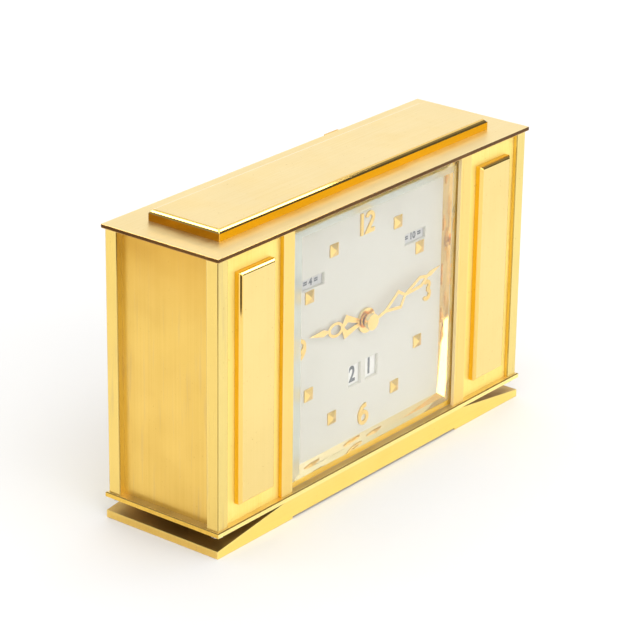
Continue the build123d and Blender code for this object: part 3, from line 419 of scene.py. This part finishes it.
# Painted shade: a darker copy of the plate's front gilt for the bottom plate's ends
plate_end_gilt = gilt("gilt_plate_end_shaded", SHORT_LENGTHWISE_GRAIN, rough=0.3, mottle=0.5, tarnish=0.6,
                      wear=0.05, light=(0.82, 0.54, 0.10, 1), deep=(0.64, 0.38, 0.05, 1))
plate_edge_gilt = gilt("gilt_plate_edge", SHORT_LENGTHWISE_GRAIN, rough=0.15, tarnish=0.4, wear=0.0,
                       light=(0.66, 0.42, 0.13, 1), deep=(0.58, 0.35, 0.10, 1))
foot_top_gilt = gilt("gilt_foot_top", even(60), rough=0.45, mottle=0.6, tarnish=0.8, wear=0.1,
                     light=(0.52, 0.34, 0.10, 1), deep=(0.42, 0.26, 0.07, 1))
flank_gilt = gilt("gilt_flank", SHORT_UPRIGHT_GRAIN, rough=0.14, tarnish=0.4, wear=0.1,
                  light=(0.77, 0.48, 0.06, 1), deep=(0.73, 0.45, 0.045, 1))
chamfer_gilt = gilt("gilt_chamfer", even(700), rough=0.06, tarnish=0.2, coat=0.3,
                    coat_rough=0.04, wear=0.0, light=(0.82, 0.55, 0.15, 1),
                    deep=(0.78, 0.51, 0.13, 1))
# Painted shade: a darker copy of the post gilt for the posts' chamfers, the dark line between their
# bright edges
post_chamfer_shade_gilt = gilt("gilt_post_chamfer_shade", SHORT_UPRIGHT_GRAIN, rough=0.12, tarnish=0.3, wear=0.0,
                      light=(0.50, 0.36, 0.10, 1), deep=(0.42, 0.29, 0.08, 1))
# Painted dark reflection: near-black brown for the top plate's upright edges, which reflect
# darkness
painted_dark_rim = gilt("painted_dark_rim", LEVEL_GRAIN, rough=0.35, mottle=0.5, tarnish=0.8, wear=0.05,
                  wear_and_highlight_reach=NARROW_WEAR_AND_HIGHLIGHT, light=(0.15, 0.07, 0.02, 1), deep=(0.06, 0.025, 0.006, 1))
mark_gilt = gilt("gilt_marks", even(900), rough=0.3, tarnish=0.3, coat=0.3,
                 wear_and_highlight_reach=NARROW_WEAR_AND_HIGHLIGHT)
hand_gilt = gilt("gilt_hands", even(900), rough=0.12, tarnish=0.3, coat=0.5,
                 wear_and_highlight_reach=NARROW_WEAR_AND_HIGHLIGHT, light=(0.93, 0.62, 0.18, 1), deep=(0.86, 0.53, 0.13, 1))
boss_gilt = gilt("gilt_boss", even(900), rough=0.22, tarnish=0.4, wear=0.2, ribs=0.5,
                 wear_and_highlight_reach=NARROW_WEAR_AND_HIGHLIGHT, light=(0.90, 0.76, 0.42, 1), deep=(0.80, 0.64, 0.32, 1))
pale_satin_gilt = gilt("gilt_satin_pale", even(300), rough=0.3, tarnish=0.1, wear=0.0,
                       light=(0.95, 0.86, 0.62, 1), deep=(0.92, 0.82, 0.57, 1))
lip_gilt = gilt("gilt_lip", SHORT_UPRIGHT_GRAIN, rough=0.4, tarnish=0.1, wear=0.0, metal=0.3,
                light=(0.95, 0.75, 0.40, 1), deep=(0.90, 0.70, 0.36, 1))
mirror_gilt = gilt("gilt_mirror", even(300), rough=0.04, tarnish=0.1, wear=0.0, stain=0.12,
                   light=(0.89, 0.63, 0.24, 1), deep=(0.85, 0.58, 0.21, 1))
pale_mirror_gilt = gilt("gilt_mirror_pale", even(300), rough=0.05, tarnish=0.1, wear=0.0,
                        light=(0.95, 0.82, 0.48, 1), deep=(0.92, 0.78, 0.43, 1))
rim_gilt = gilt("gilt_rim", even(300), rough=0.4, tarnish=0.1, wear=0.0,
                light=(0.99, 0.62, 0.05, 1), deep=(0.93, 0.55, 0.03, 1))
works_brass = plain_metal("works_brass", (0.80, 0.60, 0.28, 1), (0.70, 0.48, 0.20, 1), 0.26,
                          WORKS_GRAIN)
knob_brass = plain_metal("knob_brass", (0.84, 0.62, 0.27, 1), (0.74, 0.50, 0.20, 1), 0.2,
                         even(1500))
steel = plain_metal("steel", (0.56, 0.57, 0.58, 1), (0.44, 0.45, 0.47, 1), 0.28, even(1200))
blued_steel = plain_metal("spring_steel", (0.30, 0.33, 0.40, 1), (0.20, 0.22, 0.30, 1), 0.25,
                          even(900))
dial_white = enamel("dial_enamel")
date_silver = disc_silver("calendar_silver", (0.84, 0.835, 0.80, 1), (0.80, 0.795, 0.755, 1))
day_silver = disc_silver("calendar_grey", (0.60, 0.60, 0.59, 1), (0.55, 0.55, 0.54, 1))
print_ink = ink("print_ink")
clear_glass = pane("clear_glass", (1.0, 1.0, 0.995, 1))
edge_glass = pane("edge_glass", (0.95, 1.0, 0.97, 1))
satin_glass = pane("satin_glass", (0.895, 1.0, 0.96, 1), rough=0.3)


def assign(piece, material):
    """Give a piece one material."""
    piece.data.materials.clear()
    piece.data.materials.append(material)


def new_object(name, data):
    """New object of the scene."""
    item = bpy.data.objects.new(name, data)
    bpy.context.scene.collection.objects.link(item)
    return item


def mesh_object(name, shape, material):
    """New object from a bmesh, with one material."""
    mesh = bpy.data.meshes.new(name)
    shape.to_mesh(mesh)
    shape.free()
    mesh.materials.append(material)
    return new_object(name, mesh)


def add_mesh(name, shape, material, body):
    """Make a piece from a bmesh that moves with a body."""
    piece = mesh_object(name, shape, material)
    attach(piece, body)
    return piece


# Edges that turn by more than the first angle are eased, and by more than the second one they
# are no chamfer's blunt edges any more
SHARP_ANGLE = radians(25)
SQUARE_ANGLE = radians(75)

# Faces within this angle are joined, and corners within this distance are one
FLAT_ANGLE = radians(1)
SAME_PLACE = 1e-7

# A face is square to an axis if its normal's part along it is larger than this
SQUARE = 0.98

# How far a corner may be from the plane of a seat, and the two ends of a box
SEAT_SLACK = 0.02 * MM
LOW_END = 0
HIGH_END = 1


def soften(node, material, width, facing=(), slant=None, round_form=False, seats=(), gentle=None):
    """Stand for a CAD node with a copy whose sharp edges are slightly eased.

    Facing gives pairs (axis, finish) for the faces square to an axis, and slant the finish of
    the faces that are square to none. Gentle is the width for the blunt edges of a chamfer.
    Edges in a seat, a plane (axis, end) where the piece lies on another one, stay sharp.
    """
    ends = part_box(node)
    shape = bmesh.new()
    shape.from_mesh(nodes[node].data)
    bmesh.ops.remove_doubles(shape, verts=shape.verts, dist=SAME_PLACE)
    bmesh.ops.dissolve_limit(shape, angle_limit=FLAT_ANGLE, verts=shape.verts, edges=shape.edges)
    eased = [(SHARP_ANGLE, pi, width)]
    if gentle is not None:
        eased = [(SHARP_ANGLE, SQUARE_ANGLE, gentle), (SQUARE_ANGLE, pi, width)]
    for least, most, offset in eased:
        edges = [
            edge for edge in shape.edges
            if edge.is_manifold and least < abs(edge.calc_face_angle_signed(0)) <= most
            and not any(
                all(abs(corner.co[axis] - ends[end][axis]) < SEAT_SLACK for corner in edge.verts)
                for axis, end in seats)
        ]
        if offset > 0:
            bmesh.ops.bevel(shape, geom=edges, offset=offset, segments=1, profile=0.5,
                            affect="EDGES", clamp_overlap=True)
    finishes = [material] + [finish for axis, finish in facing]
    if slant is not None:
        finishes.append(slant)
    for face in shape.faces:
        face.material_index = 0
        for number, (axis, finish) in enumerate(facing):
            if abs(face.normal[axis]) > SQUARE:
                face.material_index = 1 + number
        if slant is not None and max(abs(part) for part in face.normal) < SQUARE:
            face.material_index = len(finishes) - 1
    piece = add_mesh(f"{node}_finished", shape, material, body_of_node[node])
    for finish in finishes[1:]:
        piece.data.materials.append(finish)
    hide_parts(node)
    for polygon in piece.data.polygons:
        polygon.use_smooth = round_form
    if round_form:
        piece.data.set_sharp_from_angle(angle=SHARP_ANGLE)


# Axes, and widths of the eased edges
ALONG_X = 0
ALONG_Y = 1
ALONG_Z = 2
STUD_EDGE = 0.05 * MM
FINE_EDGE = 0.08 * MM
PLATE_EDGE = 0.1 * MM
THICK_EDGE = 0.12 * MM
DOOR_EDGE = 0.15 * MM
BAR_CHAMFER_EDGE = 0.22 * MM
CROWN_CHAMFER_EDGE = 0.4 * MM

# Case
BETWEEN_PLATES = ((ALONG_Z, LOW_END), (ALONG_Z, HIGH_END))
soften("top_plate", painted_dark_rim, PLATE_EDGE, facing=((ALONG_Z, long_gilt),), slant=plate_edge_gilt)
soften("bottom_plate", plate_front_gilt, PLATE_EDGE, slant=chamfer_gilt,
       facing=((ALONG_Z, long_gilt), (ALONG_X, plate_end_gilt)))
soften("crown_block", polished_gilt, FINE_EDGE, slant=chamfer_gilt, seats=((ALONG_Z, LOW_END),),
       facing=((ALONG_Z, long_gilt), (ALONG_X, end_gilt)), gentle=CROWN_CHAMFER_EDGE)
soften("foot_plate", foot_gilt, THICK_EDGE, seats=((ALONG_Z, HIGH_END),),
       facing=((ALONG_X, side_gilt), (ALONG_Z, foot_top_gilt)))
for depth in ("front", "rear"):
    for side in ("left", "right"):
        soften(f"corner_post_{depth}_{side}", post_gilt, FINE_EDGE,
               facing=((ALONG_X, shaded_post_side_gilt),), slant=post_chamfer_shade_gilt, seats=BETWEEN_PLATES)
        soften(f"{depth}_stile_{side}", stile_gilt, FINE_EDGE, seats=BETWEEN_PLATES,
               facing=((ALONG_X, flank_gilt if side == "left" else lip_gilt),))
for side in ("left", "right"):
    soften(f"raised_bar_{side}", flank_gilt, FINE_EDGE, facing=((ALONG_Y, bar_gilt),),
           slant=chamfer_gilt, seats=((ALONG_Y, HIGH_END),), gentle=BAR_CHAMFER_EDGE)
    assign(nodes[f"front_panel_{side}"], panel_gilt)
    assign(nodes[f"rear_panel_{side}"], panel_gilt)
    assign(nodes[f"side_panel_{side}"], side_gilt)
for strip, strip_gilt in (("bottom", pale_mirror_gilt), ("right", mirror_gilt),
                          ("top", mirror_gilt), ("left", pale_satin_gilt)):
    soften(f"reveal_{strip}", strip_gilt, 0, facing=((ALONG_Y, rim_gilt),))
soften("rear_door", side_gilt, DOOR_EDGE)

# Dial, marks and hands
assign(nodes["dial_plate"], dial_white)
soften("hour_numerals", mark_gilt, THICK_EDGE)
soften("hour_studs", mark_gilt, STUD_EDGE)
for hand in ("hour_hand", "minute_hand"):
    soften(hand, boss_gilt, FINE_EDGE, facing=((ALONG_Y, hand_gilt),), round_form=True)

PRINT_THICKNESS = 0.03 * MM


def printed(name, text, height, place, turn, squeeze, weight):
    """Printed figures as thin solid letters, centred on a place (x, z).

    Turn is in degrees, squeeze narrows the figures and weight makes their strokes bolder.
    """
    curve = bpy.data.curves.new(name, "FONT")
    curve.body = text
    curve.align_x = "CENTER"
    curve.align_y = "CENTER"
    curve.extrude = PRINT_THICKNESS / 2
    curve.offset = weight
    scratch = new_object(name, curve)
    bpy.context.view_layer.update()
    mesh = bpy.data.meshes.new_from_object(scratch)
    bpy.data.objects.remove(scratch)
    levels = [vertex.co.y for vertex in mesh.vertices]
    middle = (max(levels) + min(levels)) / 2
    scale = height / (max(levels) - min(levels))
    upright = Matrix.Rotation(radians(90), 4, "X")
    lie = (Matrix.Translation((place[0], 0, place[1])) @ Matrix.Rotation(radians(turn), 4, "Y")
           @ upright @ Matrix.Diagonal((scale * squeeze, scale, 1, 1))
           @ Matrix.Translation((0, -middle, 0)))
    mesh.transform(lie)
    return mesh


def calendar_print(node, signs, height, ring, first_direction, weight, squeeze=1.0):
    """Figures round a calendar disc, the first one in its window."""
    low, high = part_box(node)
    centre_x = (low.x + high.x) / 2
    centre_z = (low.z + high.z) / 2
    shape = bmesh.new()
    for number, sign in enumerate(signs):
        turn = 360 / len(signs) * number
        direction = radians(first_direction) - radians(turn)
        place = (centre_x + ring * cos(direction), centre_z + ring * sin(direction))
        mesh = printed(f"{node}_figure", sign, height, place, turn, squeeze, weight)
        mesh.transform(Matrix.Translation((0, low.y - PRINT_THICKNESS / 2, 0)))
        shape.from_mesh(mesh)
        bpy.data.meshes.remove(mesh)
    add_mesh(f"{node}_figures", shape, print_ink, body_of_node[node])


# Calendar discs. A window's direction from its disc's centre is in degrees, and the first of
# the numbers shows in it.
WINDOW_RIGHT = 0
WINDOW_LEFT = 180
DATE_RING = 20.0 * MM
DATE_HEIGHT = 6.3 * MM
DATE_WEIGHT = 0.03
DATE_SQUEEZE = 0.85
SIGN_RING = 15.0 * MM
SIGN_HEIGHT = 2.8 * MM
SIGN_WEIGHT = 0.04
DAYS = (4, 5, 6, 7, 1, 2, 3)
MONTHS = (10, 11, 12, 1, 2, 3, 4, 5, 6, 7, 8, 9)
for disc, digits, window in (("date_tens_disc", "23012301", WINDOW_RIGHT),
                             ("date_units_disc", "1234567890", WINDOW_LEFT)):
    assign(nodes[disc], date_silver)
    calendar_print(disc, digits, DATE_HEIGHT, DATE_RING, window, DATE_WEIGHT, DATE_SQUEEZE)
for disc, numbers, window in (("day_disc", DAYS, WINDOW_RIGHT),
                              ("month_disc", MONTHS, WINDOW_LEFT)):
    assign(nodes[disc], day_silver)
    calendar_print(disc, [f"= {number} =" for number in numbers], SIGN_HEIGHT, SIGN_RING, window,
                   SIGN_WEIGHT)

# Movement
for node in ("front_movement_plate", "rear_movement_plate", "movement_pillars", "movement_clamps",
             "calendar_bushes", "balance_cock", "hour_wheel", "cannon_pinion", "motion_wheel",
             "centre_wheel", "intermediate_wheel", "third_wheel", "mainspring_barrel",
             "balance_wheel"):
    assign(nodes[node], works_brass)
for node in ("set_knob", "winding_key", "day_setter", "month_setter", "date_tens_setter",
             "date_units_setter"):
    soften(node, knob_brass, THICK_EDGE)
for node in ("winding_arbor", "door_hinge_rod", "case_screws", "clamp_screws"):
    assign(nodes[node], steel)
assign(nodes["mainspring"], blued_steel)

# Glass pane: the flat and the back are clear, the wide bevel is greenish and satin at the top
# and the left, and the narrow sides in the case are pale gilt
glass_low, glass_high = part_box("dial_glass")
BEVEL_WIDTH = 5.5 * MM
TOP_BEVEL_WIDTH = 4.2 * MM
BEVEL_DEPTH = 1.1 * MM
PANE_BACK_GAP = 0.06 * MM
CLEAR_BEVEL = 1
SATIN_BEVEL = 2
GILT_SIDE = 3
bevel_finishes = (CLEAR_BEVEL, CLEAR_BEVEL, SATIN_BEVEL, SATIN_BEVEL)
pane_shape = bmesh.new()
rings = []
for y, inset, top_inset in (
    (glass_high.y - PANE_BACK_GAP, 0, 0),
    (glass_low.y + BEVEL_DEPTH, 0, 0),
    (glass_low.y, BEVEL_WIDTH, TOP_BEVEL_WIDTH),
):
    corners = ((glass_low.x + inset, glass_low.z + inset),
               (glass_high.x - inset, glass_low.z + inset),
               (glass_high.x - inset, glass_high.z - top_inset),
               (glass_low.x + inset, glass_high.z - top_inset))
    rings.append([pane_shape.verts.new((x, y, z)) for x, z in corners])
pane_shape.faces.new(rings[0])
pane_shape.faces.new(list(reversed(rings[2])))
for near, far in zip(rings, rings[1:]):
    for number, bevel_finish in enumerate(bevel_finishes):
        following = (number + 1) % len(bevel_finishes)
        face = pane_shape.faces.new((near[number], near[following], far[following], far[number]))
        face.material_index = GILT_SIDE if near is rings[0] else bevel_finish
bmesh.ops.recalc_face_normals(pane_shape, faces=pane_shape.faces)
glass = add_mesh("bevelled_glass", pane_shape, clear_glass, "case")
for finish in (edge_glass, satin_glass, lip_gilt):
    glass.data.materials.append(finish)
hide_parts("dial_glass")

# Floor, a hair below the feet so that it doesn't coincide with their undersides; it looks
# darker to the camera than it is to the light
FLOOR_HALF = 3.0
FLOOR_DROP = 0.02 * MM
floor_finish = Finish("floor_paper")
paper = floor_finish.noise(even(9), detail=2)
lighting = floor_finish.mix(paper, *FLOOR_LIT)
looks = floor_finish.mix(paper, *FLOOR_SEEN)
is_camera_ray = floor_finish.add("ShaderNodeLightPath").outputs["Is Camera Ray"]
floor_finish.set(base_color=floor_finish.mix(is_camera_ray, lighting, looks), roughness=0.9)
floor_shape = bmesh.new()
bmesh.ops.create_grid(floor_shape, x_segments=1, y_segments=1, size=FLOOR_HALF)
floor = mesh_object("floor", floor_shape, floor_finish.material)
floor.location.z = -FLOOR_DROP

# Dark card just above the floor at the front left, seen only in reflections and through glass
CARD_NEAR_EDGE = Vector((-0.205, -0.191, 0.0005))
CARD_AWAY = Vector((-0.614, -0.789, 0))
CARD_HALF_WIDTH = 0.15
CARD_DEPTH = 0.4
card_finish = Finish("card_paper")
card_finish.set(base_color=card_finish.mix(card_finish.noise(even(30)), *CARD_TONES),
                roughness=0.8)
card_side = CARD_AWAY.cross(Vector((0, 0, 1)))
card_shape = bmesh.new()
card_shape.faces.new([
    card_shape.verts.new(CARD_NEAR_EDGE + CARD_AWAY * far + card_side * CARD_HALF_WIDTH * way)
    for far, way in ((0, -1), (0, 1), (CARD_DEPTH, 1), (CARD_DEPTH, -1))
])
card = mesh_object("dark_card", card_shape, card_finish.material)
card.visible_camera = False
card.visible_diffuse = False
card.visible_shadow = False

# Light: a soft room, bright overhead, fairly bright at the right and dim at the left, with a
# fill in front. The levels change over these spans of the direction's components.
LEFT_LEVEL = 0.35
FRONT_RIGHT_LEVEL = 1.05
BACK_RIGHT_LEVEL = 1.2
OVERHEAD_LEVEL = 1.8
FRONT_TO_BACK = (-0.2, 0.5)
LEFT_TO_RIGHT = (-0.3, 0.6)
LOW_TO_OVERHEAD = (0.72, 0.84)
FILL_DIRECTION = (-0.3, -0.88, 0.38)
FILL_SPAN = (0.6, 0.95)
FILL_LEVEL = 1.8
# What the camera sees of the room
CAMERA_LEVEL = 1.05
# Bright and dim parts of the room: direction, radius at full level, radius where it ends, level
ROOM_PARTS = (
    ((0.728, -0.569, 0.383), 5.0, 10.0, 1.7),
    ((0.73, -0.35, 0.59), 11.0, 17.0, 0.3),
    ((0.71, -0.70, 0.03), 9.0, 17.0, 0.12),
)
world = bpy.data.worlds.new("studio")
bpy.context.scene.world = world
world.use_nodes = True
room = world.node_tree


def room_ramp(source, low, high, start, end):
    """Smooth step of a value between two levels."""
    node = add_node(room, "ShaderNodeMapRange", interpolation_type="SMOOTHSTEP")
    for key, value in (("From Min", low), ("From Max", high), ("To Min", start), ("To Max", end)):
        feed(room, value, node.inputs[key])
    room.links.new(source, node.inputs["Value"])
    return node.outputs["Result"]


place_in_room = add_node(room, "ShaderNodeTexCoord").outputs["Generated"]
components = add_node(room, "ShaderNodeSeparateXYZ")
room.links.new(place_in_room, components.inputs["Vector"])


def nearness(to):
    """Cosine of the angle between a direction in the room and the given one."""
    node = add_node(room, "ShaderNodeVectorMath", operation="DOT_PRODUCT")
    room.links.new(place_in_room, node.inputs[0])
    node.inputs[1].default_value = Vector(to).normalized()
    return node.outputs["Value"]


right_level = room_ramp(components.outputs["Y"], *FRONT_TO_BACK, FRONT_RIGHT_LEVEL,
                        BACK_RIGHT_LEVEL)
low_level = room_ramp(components.outputs["X"], *LEFT_TO_RIGHT, LEFT_LEVEL, right_level)
level = room_ramp(components.outputs["Z"], *LOW_TO_OVERHEAD, low_level, OVERHEAD_LEVEL)
for toward, core, reach, part_level in ROOM_PARTS:
    level = room_ramp(nearness(toward), cos(radians(reach)), cos(radians(core)), level, part_level)
fill = room_ramp(nearness(FILL_DIRECTION), *FILL_SPAN, 0.0, FILL_LEVEL)
total = add_node(room, "ShaderNodeMath", operation="ADD")
room.links.new(level, total.inputs[0])
room.links.new(fill, total.inputs[1])
seen = add_node(room, "ShaderNodeLightPath")
shown = room_ramp(seen.outputs["Is Camera Ray"], 0.0, 1.0, total.outputs["Value"], CAMERA_LEVEL)
room.links.new(shown, room.nodes["Background"].inputs["Strength"])
room.nodes["Background"].inputs["Color"].default_value = (1.0, 1.0, 1.0, 1)

# Flat lamps: name, place, target that it faces, width and height, brightness of its face
LAMPS = (
    ("lamp_right", (0.6095, -0.321, 0.658), (-0.06, -0.02, 0.11), (0.16, 0.085), 6.5),
    ("lamp_left", (-0.39, 0.553, 0.749), (-0.076, 0, 0.11), (0.12, 0.12), 7.0),
    ("lamp_low", (-0.886, -0.29, 0.315), (0.03, -0.02, 0.015), (0.16, 0.16), 10.8),
)
for name, place, target, size, radiance in LAMPS:
    lamp = bpy.data.lights.new(name, "AREA")
    lamp.shape = "RECTANGLE"
    lamp.size, lamp.size_y = size
    lamp.energy = radiance * pi * size[0] * size[1]
    holder = new_object(name, lamp)
    holder.location = place
    holder.rotation_euler = (Vector(target) - Vector(place)).to_track_quat("-Z", "Y").to_euler()
    holder.visible_camera = False

# Camera of the photograph: place in metres, angles in degrees, lens and sensor in millimetres
CAMERA_PLACE = (-0.7349, -0.5726, 0.4392)
CAMERA_YAW = 51.996
CAMERA_PITCH = 22.514
CAMERA_ROLL = 0.841
CAMERA_LENS = 157.65
SENSOR_WIDTH = 36.0
CLIP_START = 0.05
yaw, pitch, roll = (radians(angle) for angle in (CAMERA_YAW, CAMERA_PITCH, CAMERA_ROLL))
ahead = Vector((sin(yaw) * cos(pitch), cos(yaw) * cos(pitch), -sin(pitch)))
level_right = Vector((cos(yaw), -sin(yaw), 0))
level_up = level_right.cross(ahead)
right = cos(roll) * level_right + sin(roll) * level_up
up = cos(roll) * level_up - sin(roll) * level_right
camera_data = bpy.data.cameras.new("camera")
camera_data.lens = CAMERA_LENS
camera_data.sensor_width = SENSOR_WIDTH
camera_data.clip_start = CLIP_START
camera = new_object("camera", camera_data)
camera.matrix_world = Matrix.Translation(CAMERA_PLACE) @ Matrix(
    (right, up, -ahead)).transposed().to_4x4()
bpy.context.scene.camera = camera

bpy.context.scene.view_settings.view_transform = "Standard"
